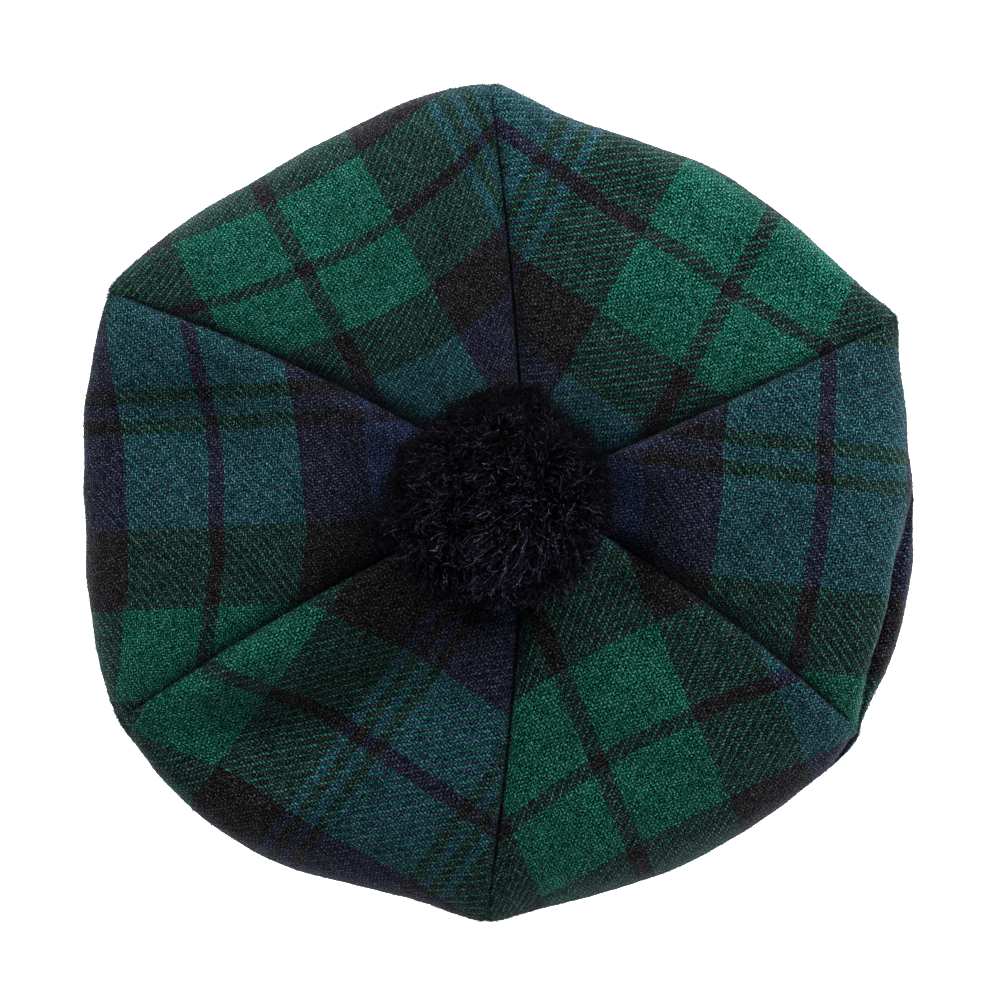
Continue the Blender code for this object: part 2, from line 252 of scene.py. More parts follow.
    # painted shade: the gaps between the round backs of the yarns are painted dark, as they would lie in
    # shade
    gap = addNode(tree, "MapRange", {"interpolation_type": "SMOOTHSTEP"},
                  {0: height, 1: 0.85, 2: 1.85, 3: twill["gap"], 4: 1.0})
    shade = addNode(tree, "MapRange", links={0: lit, 1: -0.55, 2: 0.55, 3: 0.0, 4: twill["full"]})
    # and patches some 20 threads wide are a little lighter or darker
    patches = addNode(tree, "TexNoise", {"noise_dimensions": "2D"},
                      {"Vector": threads, "Scale": 0.05})
    patches = addNode(tree, "Math", {"operation": "MULTIPLY_ADD"}, {0: patches, 1: 0.5, 2: 0.75})
    # the painted shade of the gaps is laid over the patches
    patches = addNode(tree, "Math", {"operation": "MULTIPLY"}, {0: patches, 1: gap})
    shade = addNode(tree, "Math", {"operation": "MULTIPLY"}, {0: shade, 1: patches})
    shaded = addNode(tree, "VectorMath", {"operation": "SCALE"}, {0: dyed, "Scale": shade})
    # painted highlights: pale flecks painted where the lightest fibres would catch the light
    start, whole, most = twill["flecks"]
    paintedHighlightFlecks = addNode(tree, "MapRange", {"interpolation_type": "SMOOTHSTEP"},
                   {0: lit, 1: start, 2: whole, 3: 0.0, 4: most})
    channels = addNode(tree, "SeparateColor", links={0: dyed})
    more, least = twill["paintedHighlightOnGreen"]
    share = addNode(tree, "Math", {"operation": "MULTIPLY_ADD"},
                    {0: channels.outputs["Green"], 1: more, 2: least})
    # fewer flecks in the painted shade of the gaps
    share = addNode(tree, "Math", {"operation": "MULTIPLY"}, {0: share, 1: gap})
    paintedHighlightFlecks = addNode(tree, "Math", {"operation": "MULTIPLY"}, {0: paintedHighlightFlecks, 1: share})
    flecked = addNode(tree, "Mix", {"data_type": "RGBA"}, {0: paintedHighlightFlecks, 6: shaded, 7: srgb(twill["paintedHighlight"])})
    relief = addNode(tree, "Math", {"operation": "MULTIPLY_ADD"},
                     {0: tufts, 1: twill["relief"], 2: height})
    bump = addNode(tree, "Bump", links={
        "Strength": 0.6, "Distance": twill["yarnHeight"] * mm, "Height": relief})
    shader = addNode(tree, "BsdfPrincipled", links={
        "Base Color": flecked, "Roughness": 0.95, "IOR": 1.54, "Specular IOR Level": 0.08,
        "Sheen Weight": 0.42, "Sheen Roughness": 0.3, "Sheen Tint": srgb("#b9c6cf"), "Normal": bump})
    addNode(tree, "OutputMaterial", links={0: shader})
    return material


# The crown: six gores, each one piece of cloth from the apex over the rim to the band.
crown = {
    "cloth": 1.7,                                 # mm, how thick
    "apex": (8.9, 4.2), "apexHole": 1.2,          # where the gores meet, and the hole left there
    "topZ": 50.0, "puff": 3.1, "puffLean": 0.8,   # how high the top is, and how gores puff up
    # the top sinks towards the apex: depth and radius, first narrow, then wide
    "dimple": 4.0, "dimpleR": 18.0, "hollow": 2.2, "hollowR": 42.0,
    # the cloth sinks in a ring under the edge of the toorie: middle, radius, width, depth
    # and the line, in degrees, along which it hardly does, with how much less and how sharply
    "ring": (-0.6, 2.6, 30.0, 14.0, 9.0, 100.0), "ringFades": (0.95, 0.8),
    "valley": 2.7, "valleyR": 6.0, "valleyStart": 0.25,       # the furrow along a seam
    # how square the side is at a seam and under the rim, and how the underside hangs
    "roundSeam": 3.4, "roundUnder": 3.0, "sagSeam": 14.0, "underLean": 1.5,
    "columns": 68, "rowsTop": 112, "rowsUnder": 44, "rowsHem": 4,     # the mesh of a gore
    # seams counter-clockwise: corner x, y, z over the rim, and bow of the plan line
    "seams": {
        "back_right": (134.1, 61.5, 24.0, -1.3),
        "back": (-2.7, 140.1, 23.0, -1.6),
        "back_left": (-131.1, 70.3, 25.0, -4.9),
        "front_left": (-127.9, -73.7, 24.0, -3.9),
        "front": (-4.0, -140.8, 23.0, 2.0),
        "front_right": (121.7, -77.7, 22.0, 5.1),
    },
    # rim swell, where it peaks, how full, wave and lobes on it, rim drop, underside sag,
    # and how square the side is
    "gores": {
        "gore_back_right": (11.2, 0.54, 0.64, 2.0, -2.1, 3.0, 11.0, 4.6),
        "gore_back_left": (11.2, 0.52, 0.72, 0.5, 1.1, 4.0, 10.0, 4.4),
        "gore_left": (11.6, 0.59, 0.95, 1.8, 0.9, 4.0, 9.0, 3.7),
        "gore_front_left": (16.0, 0.55, 0.87, 4.0, -1.4, 6.0, 8.0, 4.2),
        "gore_front_right": (12.7, 0.53, 0.70, -0.5, -0.9, 6.0, 7.5, 4.6),
        "gore_right": (12.6, 0.51, 1.44, 2.2, 0.5, 5.0, 8.5, 6.0),
    },
    # soft folds: middle x, y, turn in degrees, half length, half width, height
    "folds": [
        (-81.0, -53.0, 32.0, 36.0, 7.0, 2.0),
        (-98.0, 52.0, 156.0, 32.0, 8.0, 1.8),
        (97.0, -56.0, 145.0, 26.0, 7.0, 1.6),
        (60.0, 78.0, 60.0, 30.0, 14.0, 2.0),
        (-40.0, -100.0, 60.0, 26.0, 12.0, -1.8),
        (48.0, -92.0, 115.0, 26.0, 13.0, 1.8),
        (-52.0, 92.0, 120.0, 24.0, 12.0, -1.5),
    ],
    # more of them, too low for the plain solids
    "dips": [
        (-81.0, -53.0, 30.0, 36.0, 6.0, 1.3),
        (45.0, -22.0, -36.0, 22.0, 9.0, -2.2),
        (-118.0, -48.0, 30.0, 14.0, 7.0, 1.4),
    ],
    # uneven dips: middle x, y, turn, half length, half widths at the back and front, height
    "slopes": [
        (-88.0, -80.5, 14.0, 26.0, 15.0, 18.0, -17.0),
        (-62.0, -75.0, 22.0, 20.0, 13.0, 22.0, -11.0),
        (-38.0, -60.0, 32.0, 22.0, 13.0, 26.0, -11.0),
        (-110.0, 25.0, -4.0, 34.0, 14.0, 24.0, -12.0),
        (45.7, 102.0, -19.0, 22.0, 8.0, 14.0, -6.0),
        (104.5, 68.2, -35.0, 28.0, 9.0, 16.0, -6.5),
        (80.0, 76.0, -30.0, 16.0, 9.0, 14.0, -3.0),
        (-118.0, 72.0, -30.0, 12.0, 8.0, 10.0, -5.5),
        (-104.0, -60.0, 28.0, 16.0, 8.0, 10.0, -3.0),
        (42.0, -88.0, -20.0, 22.0, 12.0, 14.0, -5.0),
        (66.0, -60.0, -30.0, 16.0, 8.0, 10.0, -3.0),
        (-43.0, 12.0, -14.0, 12.0, 10.0, 12.0, -4.0),
        (44.0, -4.0, 10.0, 12.0, 12.0, 12.0, -5.0),
        (42.0, -31.0, -36.0, 14.0, 8.0, 14.0, -5.0),
    ],
    # the crease at the front right: shares of the rim where it starts and ends
    "creases": {"gore_right": (-0.06, 0.62), "gore_front_right": (0.86, 1.06)},
    "creaseFade": 0.26, "creaseIn": 7.2, "creaseFoldZ": 34.0, "creaseSwell": 10.0, "creaseRound": 3.0,
    # sewing: a slit at the seam, a tuck beside it that fades towards the rim, a roll over
    # the allowance and the pucker of the stitches, each with how far it reaches
    "slit": 2.0, "slitR": 0.75, "tuck": 0.9, "tuckR": 1.6, "tuckAtRim": 0.25,
    "roll": 0.7, "rollAt": 6.5, "rollR": 4.5, "pucker": 0.3, "puckerR": 3.5, "puckerLong": 9.0,
    "seamLong": 150.0,
    # the cloth is never quite even: height, size and seed
    "uneven": ((0.35, 34.0, 5), (0.10, 12.0, 6)),
}
band = {
    "r": 90.0, "t": 2.5, "h": 25.0, "wave": 0.8, "lobes": 3, "hemOut": 0.4, "clear": 0.3,
    "sides": 240, "soft": 0.9,                   # how many sides, and how round its edges are
    "sag": 0.5, "sags": 5.0,                     # how far it bows in and out, and how often
    "stitch": 0.35, "stitchZ": 6.0,              # how deep the row of stitches lies, and how high up
    "threads": (1.05, 0.87),                     # mm from thread to thread, along and up
}
goreNames = list(crown["gores"])
seamRows = list(crown["seams"].values())
apex = np.array([*crown["apex"], 0.0])


def corner(index):
    x, y, _, _ = seamRows[index % 6]
    return np.array([x, y, 0.0])


def rimPlan(index, u):
    # The outline from above, in mm, at shares u of one gore.
    rise, peak, full, wave, lobes = crown["gores"][goreNames[index]][:5]
    chord = mix(corner(index), corner(index + 1), u[..., None])
    skewed = u ** (math.log(0.5) / math.log(peak))
    swell = rise * hump(skewed) ** full
    swell = swell + wave * np.sin(2.0 * math.pi * u) + lobes * np.sin(3.0 * math.pi * u)
    return chord + unit(chord - apex) * swell[..., None]


def rimHeight(index, u):
    drop = crown["gores"][goreNames[index]][5]
    return mix(seamRows[index][2], seamRows[(index + 1) % 6][2], u) - drop * np.sqrt(hump(u))


def foldHeight(x, y):
    # A fold has one half width, and a slope has one at the back and one at the front.
    total = 0.0
    for fold in crown["folds"] + crown["dips"] + crown["slopes"]:
        middleX, middleY, turn, length, *widths, height = fold
        turn = math.radians(turn)
        dx, dy = x - middleX, y - middleY
        run = dx * math.cos(turn) + dy * math.sin(turn)
        aside = dy * math.cos(turn) - dx * math.sin(turn)
        width = np.where(aside > 0.0, widths[0], widths[-1])
        total = total + height * bell(run / length) * bell(aside / width)
    return total


def ringDepth(x, y):
    # The tie of the toorie draws the cloth down around it.
    middleX, middleY, radius, width, depth, least = crown["ring"]
    far = np.hypot(x - middleX, y - middleY)
    way = np.arctan2(y - middleY, x - middleX) - math.radians(least)
    less, sharp = crown["ringFades"]
    shallow = less * np.abs(np.cos(way)) ** sharp
    return depth * (1.0 - shallow) * bell((far - radius) / width)


def creaseShare(index, u):
    # How full the crease is at a place on the rim, from 0 to 1.
    if goreNames[index] not in crown["creases"]:
        return 0.0 * u
    first, last = crown["creases"][goreNames[index]]
    return smooth(np.minimum(u - first, last - u) / crown["creaseFade"])


def sideHeight(index, u, s, size, flat):
    # How the crown rounds down from its flat to the rim, with the crease in it.
    low = rimHeight(index, u)
    power = mix(crown["roundSeam"], crown["gores"][goreNames[index]][7], hump(u))
    share = creaseShare(index, u)
    inside = size * (1.0 - s)
    creaseIn = crown["creaseIn"] * share
    past = 1.0 - inside / np.maximum(creaseIn, 1e-6)
    rounded = np.sqrt(np.clip(1.0 - past ** crown["creaseRound"], 0.0, 1.0))
    swell = low + crown["creaseSwell"] * share * rounded
    fold = mix(low, crown["creaseFoldZ"], share)
    reach = size * s / (size - creaseIn)
    above = fold + (flat - fold) * np.sqrt(np.maximum(1.0 - reach ** power, 0.0))
    return np.where(inside < creaseIn, swell, above)


def topPoint(index, u, s):
    # s runs from 0 at the apex to 1 at the rim.
    out = rimPlan(index, u) - apex
    size = np.linalg.norm(out, axis=-1)
    bow = mix(seamRows[index][3], seamRows[(index + 1) % 6][3], u)
    aside = unit(np.stack([-out[..., 1], out[..., 0], 0.0 * size], -1))
    plan = apex + out * s[..., None] + aside * (bow * hump(s))[..., None]
    width = np.linalg.norm(corner(index) - corner(index + 1))
    toSeam = np.minimum(u, 1.0 - u) * width * s
    furrow = crown["valley"] * np.exp(-toSeam / crown["valleyR"]) * smooth(s / crown["valleyStart"])
    puff = crown["puff"] * hump(u) * np.sin(math.pi * s ** crown["puffLean"])
    flat = crown["topZ"] + puff - furrow - crown["dimple"] * bell(size * s / crown["dimpleR"])
    # the toorie's knot draws the crown down around it
    flat = flat - crown["hollow"] * bell(size * s / crown["hollowR"])
    flat = flat + foldHeight(plan[..., 0], plan[..., 1]) - ringDepth(plan[..., 0], plan[..., 1])
    plan[..., 2] = sideHeight(index, u, s, size, flat)
    return plan


def hemPoint(index, u, share):
    rim = rimPlan(index, u)
    angle = np.arctan2(rim[..., 1], rim[..., 0])
    reach = band["r"] + band["wave"] * np.sin(band["lobes"] * angle)
    reach = reach + mix(band["hemOut"], -band["t"], share)
    return np.stack([reach * np.cos(angle), reach * np.sin(angle),
                     np.full_like(angle, band["h"] + band["clear"])], -1)


def underPoint(index, u, q):
    # q runs from 1 at the rim to 0 at the headband.
    hem = hemPoint(index, u, 0.0)
    plan = mix(hem, rimPlan(index, u), q[..., None])
    low = rimHeight(index, u)
    sag = mix(crown["sagSeam"], crown["gores"][goreNames[index]][6], hump(u))
    level = mix(sag, hem[..., 2], (1.0 - q) ** crown["underLean"])
    plan[..., 2] = low - (low - level) * np.sqrt(np.maximum(1.0 - q ** crown["roundUnder"], 0.0))
    return plan


def crownPoints(index, u, t):
    # t is 0 at the apex, 1 at the rim, 2 outside the headband and 3 inside it.
    start = crown["apexHole"] / np.linalg.norm(rimPlan(index, u) - apex, axis=-1)
    top = topPoint(index, u, mix(start, 1.0, np.sin(0.5 * math.pi * np.clip(t, 0.0, 1.0))))
    under = underPoint(index, u, np.cos(0.5 * math.pi * np.clip(t - 1.0, 0.0, 1.0)))
    hem = hemPoint(index, u, np.clip(t - 2.0, 0.0, 1.0))
    t = t[..., None]
    return np.where(t <= 1.0, top, np.where(t <= 2.0, under, hem))


# How the tartan lies on each gore, in degrees, mm and threads: the way the gore points,
# the thread number on its middle line, the warp's pitch and lean, how far out the black
# stripe in the green crosses, the weft's pitch and how it closes up outward, and how that
# stripe tilts and bends back at the seams.
lay = {
    "columns": ("turn", "across", "acrossPitch", "lean",
                "stripeAt", "alongPitch", "squeeze", "tilt", "bend"),
    "gore_back_right": (60.5, 136.0, 0.975, 0.001, 96.8, 0.957, -0.186, 0.064, 1.4),
    "gore_back_left": (124.9, -127.5, 0.968, 0.107, 100.5, 0.732, -0.152, 0.082, 10.6),
    "gore_left": (182.2, 33.7, 0.925, -0.007, 106.0, 0.853, -0.079, 0.013, 6.7),
    "gore_front_left": (237.5, 181.5, 0.942, 0.059, 102.4, 0.950, 0.009, -0.065, 3.9),
    "gore_front_right": (294.5, -92.1, 0.987, 0.033, 93.8, 0.922, 0.055, -0.063, 5.5),
    "gore_right": (354.3, -19.1, 0.964, 0.024, 102.1, 0.980, -0.074, 0.035, -4.6),
}


def threadNumbers(index, points):
    # Thread numbers across and along for a grid of points in mm, rows running outward.
    cut = dict(zip(lay["columns"], lay[goreNames[index]]))
    turn = math.radians(cut["turn"])
    outward = np.array([math.cos(turn), math.sin(turn), 0.0])
    aside = np.array([-math.sin(turn), math.cos(turn), 0.0])
    out, side = (points - apex) @ outward, (points - apex) @ aside
    steps = np.hypot(np.diff(out, axis=0), np.diff(points[..., 2], axis=0))
    reach = np.concatenate([out[:1], out[:1] + np.cumsum(steps, 0)], 0)
    across = cut["across"] + (side + cut["lean"] * (out - 100.0)) / cut["acrossPitch"]
    stripe = cut["stripeAt"] + cut["tilt"] * side + cut["bend"] * (side / 60.0) ** 2
    count = (reach - stripe) / cut["alongPitch"]
    along = twill["middleStripe"] + count + cut["squeeze"] * count ** 2 / 100.0
    return np.stack([across, along], -1)


def gridNormals(points):
    down = np.gradient(points, axis=0)
    right = np.gradient(points, axis=1)
    return unit(np.cross(down, right))


def seamLift(index, t, toSeam):
    # What sewing does to the cloth near one seam: it tucks in sharply, puckers a
    # little unevenly, and stands in a low roll over the allowance inside.
    run = t * crown["seamLong"]
    place = np.stack([run, np.full_like(run, 37.0 * index), 0.0 * run], -1)
    uneven = softNoise(place, crown["puckerLong"], 11 + index)
    slit = -crown["slit"] * bell(toSeam / crown["slitR"])
    tuck = slit - crown["tuck"] * np.exp(-toSeam / crown["tuckR"])
    pucker = crown["pucker"] * uneven * np.exp(-toSeam / crown["puckerR"])
    roll = crown["roll"] * bell((toSeam - crown["rollAt"]) / crown["rollR"]) * smooth(toSeam / 3.0)
    nearRim = smooth((t - 0.62) / 0.3)
    return (tuck + roll) * mix(1.0, crown["tuckAtRim"], nearRim) + pucker


def makeGore(index, material):
    shares = 0.5 - 0.5 * np.cos(np.linspace(0.0, math.pi, crown["columns"] + 1))
    rows = np.concatenate([np.linspace(0.0, 1.0, crown["rowsTop"] + 1),
                           1.0 + np.linspace(0.0, 1.0, crown["rowsUnder"] + 1)[1:],
                           2.0 + np.linspace(0.0, 1.0, crown["rowsHem"] + 1)[1:]])
    t, u = np.meshgrid(rows, shares, indexing="ij")
    points = crownPoints(index, u, t)
    threads = threadNumbers(index, points)
    normals = gridNormals(points)
    along = unit(np.gradient(points, axis=0))
    # on a seam both gores lift along one direction, so that they stay together
    seamUps = []
    for column, seam in ((0, index), (-1, index + 1)):
        line = corner(seam) - apex
        aside = unit(np.array([-line[1], line[0], 0.0]))
        seamUps.append(unit(np.cross(along[:, column], aside)))
    steps = np.linalg.norm(np.diff(points, axis=1), axis=-1)
    fromLeft = np.concatenate([np.zeros((len(rows), 1)), np.cumsum(steps, 1)], 1)
    fromRight = fromLeft[:, -1:] - fromLeft
    nearSeam = np.minimum(fromLeft, fromRight)
    seamUp = np.where((fromLeft < fromRight)[..., None], seamUps[0][:, None], seamUps[1][:, None])
    normals = unit(mix(seamUp, normals, smooth(nearSeam / 2.5)[..., None]))
    lift = seamLift(index, t, fromLeft) + seamLift((index + 1) % 6, t, fromRight)
    for height, size, seed in crown["uneven"]:
        lift = lift + height * softNoise(points, size, seed)
    lift = lift * smooth((2.2 - t) / 0.3)
    outer = points + normals * lift[..., None]
    inner = (outer - normals * crown["cloth"])[::2, ::2]
    # the inner face has half as many rows and columns, and a strip round the edge joins both
    high, wide = outer.shape[:2]
    a = (np.arange(high - 1)[:, None] * wide + np.arange(wide - 1)).ravel()
    quads = np.stack([a, a + wide, a + wide + 1, a + 1], -1)
    half, lowHigh, lowWide = high * wide, *inner.shape[:2]
    b = half + (np.arange(lowHigh - 1)[:, None] * lowWide + np.arange(lowWide - 1)).ravel()
    backs = np.stack([b, b + 1, b + lowWide + 1, b + lowWide], -1)
    edge = [(0, c) for c in range(wide - 1)] + [(r, wide - 1) for r in range(high - 1)]
    edge += [(high - 1, c) for c in range(wide - 1, 0, -1)] + [(r, 0) for r in range(high - 1, 0, -1)]
    sides = []
    for k in range(0, len(edge), 2):
        trio = [edge[k], edge[k + 1], edge[(k + 2) % len(edge)]]
        first, middle, last = [r * wide + c for r, c in trio]
        below = [half + (r // 2) * lowWide + c // 2 for r, c in (trio[0], trio[2])]
        sides.append((first, middle, last, below[1], below[0]))
    verts = np.concatenate([outer.reshape(-1, 3), inner.reshape(-1, 3)]) * mm
    numbers = np.concatenate([threads.reshape(-1, 2), threads[::2, ::2].reshape(-1, 2)])
    addPiece(goreNames[index] + "_cloth", verts, [quads, backs, np.array(sides)], material,
             [goreNames[index]], {"threads": numbers})
    return outer * mm, normals


twillMaterial = tartanTwill()
crownFaces = [makeGore(index, twillMaterial) for index in range(6)]
print("crown: six gores sewn")


# The headband: a turned band of plain dark twill that the hat lies on.
def plainTwill():
    # The band's own cloth: the same woollen twill in plain navy, flat and dull.
    material, tree = newMaterial("plain_woollen_twill")
    threads = addNode(tree, "UVMap", {"uv_map": "threads"})
    split = addNode(tree, "SeparateXYZ", links={0: threads})
    diagonal = addNode(tree, "Math", {"operation": "ADD"}, {0: split.outputs[0], 1: split.outputs[1]})
    diagonal = addNode(tree, "Math", {"operation": "MULTIPLY"}, {0: diagonal, 1: math.pi / 2.0})
    line = addNode(tree, "Math", {"operation": "SINE"}, {0: diagonal})
    flecks = addNode(tree, "TexNoise", {"noise_dimensions": "2D"},
                     {"Vector": threads, "Scale": 0.9, "Detail": 3.0})
    tone = addNode(tree, "Math", {"operation": "MULTIPLY_ADD"}, {0: line, 1: 0.12, 2: flecks})
    ramp = addNode(tree, "ValToRGB", links={0: tone})
    for stop, (place, colour) in zip(ramp.color_ramp.elements, ((0.3, "#0c0e1a"), (0.8, "#2b3044"))):
        stop.position, stop.color = place, srgb(colour)
    bump = addNode(tree, "Bump", links={"Strength": 0.8, "Distance": 0.25 * mm, "Height": tone})
    shader = addNode(tree, "BsdfPrincipled", links={
        "Base Color": ramp, "Roughness": 0.9, "IOR": 1.54, "Specular IOR Level": 0.12,
        "Sheen Weight": 0.2, "Sheen Roughness": 0.45, "Normal": bump})
    addNode(tree, "OutputMaterial", links={0: shader})
    return material


def makeBand(material):
    # A closed turned profile with soft edges, standing on the floor.
    sides, soft = band["sides"], band["soft"]
    profile = []
    for x, z, first in ((band["t"] - soft, soft, -90.0), (band["t"] - soft, band["h"] - soft, 0.0),
                        (soft, band["h"] - soft, 90.0), (soft, soft, 180.0)):
        for k in range(4):
            angle = math.radians(first + 30.0 * k)
            profile.append((x + soft * math.cos(angle), z + soft * math.sin(angle)))
    outline = np.array(profile)
    # more rows up the long faces, so that the band can bow a little
    rowsUp = []
    for k, point in enumerate(outline):
        after = outline[(k + 1) % len(outline)]
        count = 8 if abs(after[1] - point[1]) > 5.0 else 1
        rowsUp += [mix(point, after, j / count) for j in range(count)]
    outline = np.array(rowsUp)
    angle = np.linspace(0.0, 2.0 * math.pi, sides, endpoint=False)[:, None]
    x, z = outline[None, :, 0], outline[None, :, 1]
    sag = band["sag"] * np.sin(math.pi * z / band["h"]) * np.sin(band["sags"] * angle + 0.7)
    stitched = -band["stitch"] * bell((z - band["stitchZ"]) / 0.7) * (x > band["t"] / 2.0)
    radius = band["r"] - band["t"] + x + band["wave"] * np.sin(band["lobes"] * angle) + sag + stitched
    points = np.stack([radius * np.cos(angle), radius * np.sin(angle), z + 0.0 * angle], -1)
    count = len(outline)
    here, row = np.arange(sides)[:, None] * count, np.arange(count)
    after, rowUp = np.roll(here, -1, axis=0), np.roll(row, -1)
    quads = np.stack([here + row, after + row, after + rowUp, here + rowUp], -1).reshape(-1, 4)
    run = np.cumsum(np.linalg.norm(np.diff(outline, axis=0, prepend=outline[-1:]), axis=1))
    pitchAlong, pitchUp = band["threads"]
    threads = np.stack([np.broadcast_to(angle * band["r"] / pitchAlong, points.shape[:2]),
                        np.broadcast_to(run / pitchUp, points.shape[:2])], -1)
    addPiece("headband_cloth", points.reshape(-1, 3) * mm, [quads], material,
             ["headband"], {"threads": threads.reshape(-1, 2)})


makeBand(plainTwill())
print("headband turned and stitched")


# The toorie: cut woollen yarn round a bound head.
toorie = {
    "middle": (-0.6, 2.6, 66.0), "tall": 30.0,
    # how far it reaches, seen from above: degrees counter-clockwise from the right, and mm
    "outline": ((0.0, 36.6), (8.0, 36.2), (22.0, 34.8), (34.0, 33.5), (59.0, 34.2), (66.0, 36.4),
                (74.0, 35.4), (91.0, 33.0), (100.0, 31.8), (114.0, 32.3), (126.0, 30.6), (145.0, 31.2),
                (154.0, 33.8), (179.0, 34.4), (190.0, 38.0), (196.0, 42.5), (203.0, 39.0), (212.0, 37.6),
                (235.0, 38.2), (254.0, 36.8), (277.0, 35.5), (298.0, 37.6), (318.0, 38.2), (330.0, 37.4),
                (341.0, 36.3), (360.0, 36.6)),
    "head": 0.9,                 # where strands start, as a share of the reach
    "lowest": -0.45,             # no strands start lower than this, from -1 at the foot to 1 on top
    "foot": 47.6,                # mm, where it sits on the crown
    "strands": 13200, "yarn": 0.16, "uneven": 0.05, "scatter": 0.012,
    # locks: how much longer, how big, and how much and how finely single strands differ
    "locks": 0.05, "lockSize": 0.42, "ragged": 0.02, "raggedSize": 0.14,
    "curl": 0.5, "curls": (10.0, 16.0),           # mm, and turns in radians from root to end
    "bend": 1.2,                                  # mm, how far the cut ends bend over
    "clump": 0.07, "stray": 0.05,                 # how strands lean, together and each by itself
    # dark hollows between the locks: from the middle to the right and back, and how wide
    "holes": ((19.9, 1.0, 2.4), (16.9, 11.0, 1.8), (8.3, -6.6, 2.2), (19.3, -6.6, 1.8),
              (-8.6, -12.6, 2.0)),
    "holeDeep": 0.16,
    # tones: how few strands are pale, the way in which painted light makes them paler, and how much
    # painted shade darkens the sides
    "fewPale": 3.2, "paintedLightWay": (0.12, -0.55), "paintedShadeOnSides": 0.73,
    # painted sheen: the combed side is painted palest, as its strands show their shining sides: its
    # direction in degrees, how wide and how much
    "paintedSheenOnCombed": (292.0, 38.0, 1.1),
    # strands fan down from the parting
    "droop": 3.0, "whorl": (19.5, 1.0), "combed": 0.34, "combedShare": 0.5,
}


def toorieYarn():
    # Soft dull wool in navy so deep that it looks black, each strand its own tone, with painted light
    # and shade in it.
    material, tree = newMaterial("cut_woollen_yarn")
    strand = addNode(tree, "UVMap", {"uv_map": "strand"})
    split = addNode(tree, "SeparateXYZ", links={0: strand})
    ramp = addNode(tree, "ValToRGB", links={0: split.outputs[0]})
    for stop, colour in zip(ramp.color_ramp.elements, ("#08080f", "#5f5b74")):
        stop.color = srgb(colour)
    # painted shade: the roots are painted darker, as they lie in the shade of the strands over them
    reach = addNode(tree, "MapRange", links={0: split.outputs[1], 1: 0.1, 2: 1.0, 3: 0.2, 4: 1.2})
    # painted glints: the strands cross and twist, so each is painted as short pale glints, about 1 mm
    # long
    place = addNode(tree, "TexCoord")
    paintedGlints = addNode(tree, "TexNoise", links={
        "Vector": place.outputs["Object"], "Scale": 1100.0, "Detail": 1.0})
    paintedGlints = addNode(tree, "MapRange", links={0: paintedGlints, 1: 0.4, 2: 0.68, 3: 0.12, 4: 2.2})
    reach = addNode(tree, "Math", {"operation": "MULTIPLY"}, {0: reach, 1: paintedGlints})
    colour = addNode(tree, "VectorMath", {"operation": "SCALE"}, {0: ramp, "Scale": reach})
    shader = addNode(tree, "BsdfPrincipled", links={
        "Base Color": colour, "Roughness": 0.9, "IOR": 1.54, "Specular IOR Level": 0.06,
        "Sheen Weight": 0.02, "Sheen Roughness": 0.5})
    addNode(tree, "OutputMaterial", links={0: shader})
    return material


tubeSides = 3                    # fibres are too thin to need more


def tubes(paths, radii):
    # Closed thin tubes. paths is strands x rings x 3; radii is strands x rings.
    sides = tubeSides
    count, rings = paths.shape[:2]
    run = unit(np.gradient(paths, axis=1))
    steep = np.abs(run[..., 2:]) >= 0.9
    aside = unit(np.cross(run, np.where(steep, [[[1.0, 0.0, 0.0]]], [[[0.0, 0.0, 1.0]]])))
    back = np.cross(run, aside)
    verts = []
    for k in range(sides):
        angle = 2.0 * math.pi * k / sides
        verts.append(paths + (aside * math.cos(angle) + back * math.sin(angle)) * radii[..., None])
    verts = np.stack(verts, 2)                       # strands, rings, sides, 3
    tips = paths[:, -1] + run[:, -1] * radii[:, -1:]
    each = rings * sides + 1
    flat = np.concatenate([verts.reshape(count, -1, 3), tips[:, None]], 1).reshape(-1, 3)
    start = np.arange(count)[:, None] * each
    r, k = [g.ravel() for g in np.meshgrid(np.arange(rings - 1), np.arange(sides), indexing="ij")]
    a, b = r * sides + k, r * sides + (k + 1) % sides
    quads = np.stack([a, b, b + sides, a + sides], -1)
    quads = (start[..., None] + quads[None]).reshape(-1, 4)
    k = np.arange(sides)
    last = (rings - 1) * sides
    ends = np.stack([last + k, last + (k + 1) % sides, np.full(sides, each - 1)], -1)
    ends = (start[..., None] + ends[None]).reshape(-1, 3)
    roots = (start + np.arange(sides)[::-1]).reshape(-1, sides)
    return flat, [quads, ends, roots]


def toorieReach(d):
    # The outside of the toorie in the directions d, from its middle.
    turn = np.degrees(np.arctan2(d[:, 1], d[:, 0])) % 360.0
    degrees, reach = np.array(toorie["outline"]).T
    wide = np.interp(turn, degrees, reach)
    return d * np.stack([wide, wide, np.full_like(wide, toorie["tall"])], -1)


def strandLength(d):
    length = 1.0 + toorie["locks"] * softNoise(d, toorie["lockSize"], 21)
    length = length + toorie["ragged"] * softNoise(d, toorie["raggedSize"], 22)
    place = toorieReach(d)
    for x, y, wide in toorie["holes"]:
        far = np.hypot(place[:, 0] - x, place[:, 1] - y)
        length = length - toorie["holeDeep"] * bell(far / wide) * smooth(d[:, 2] / 0.3)
    return length


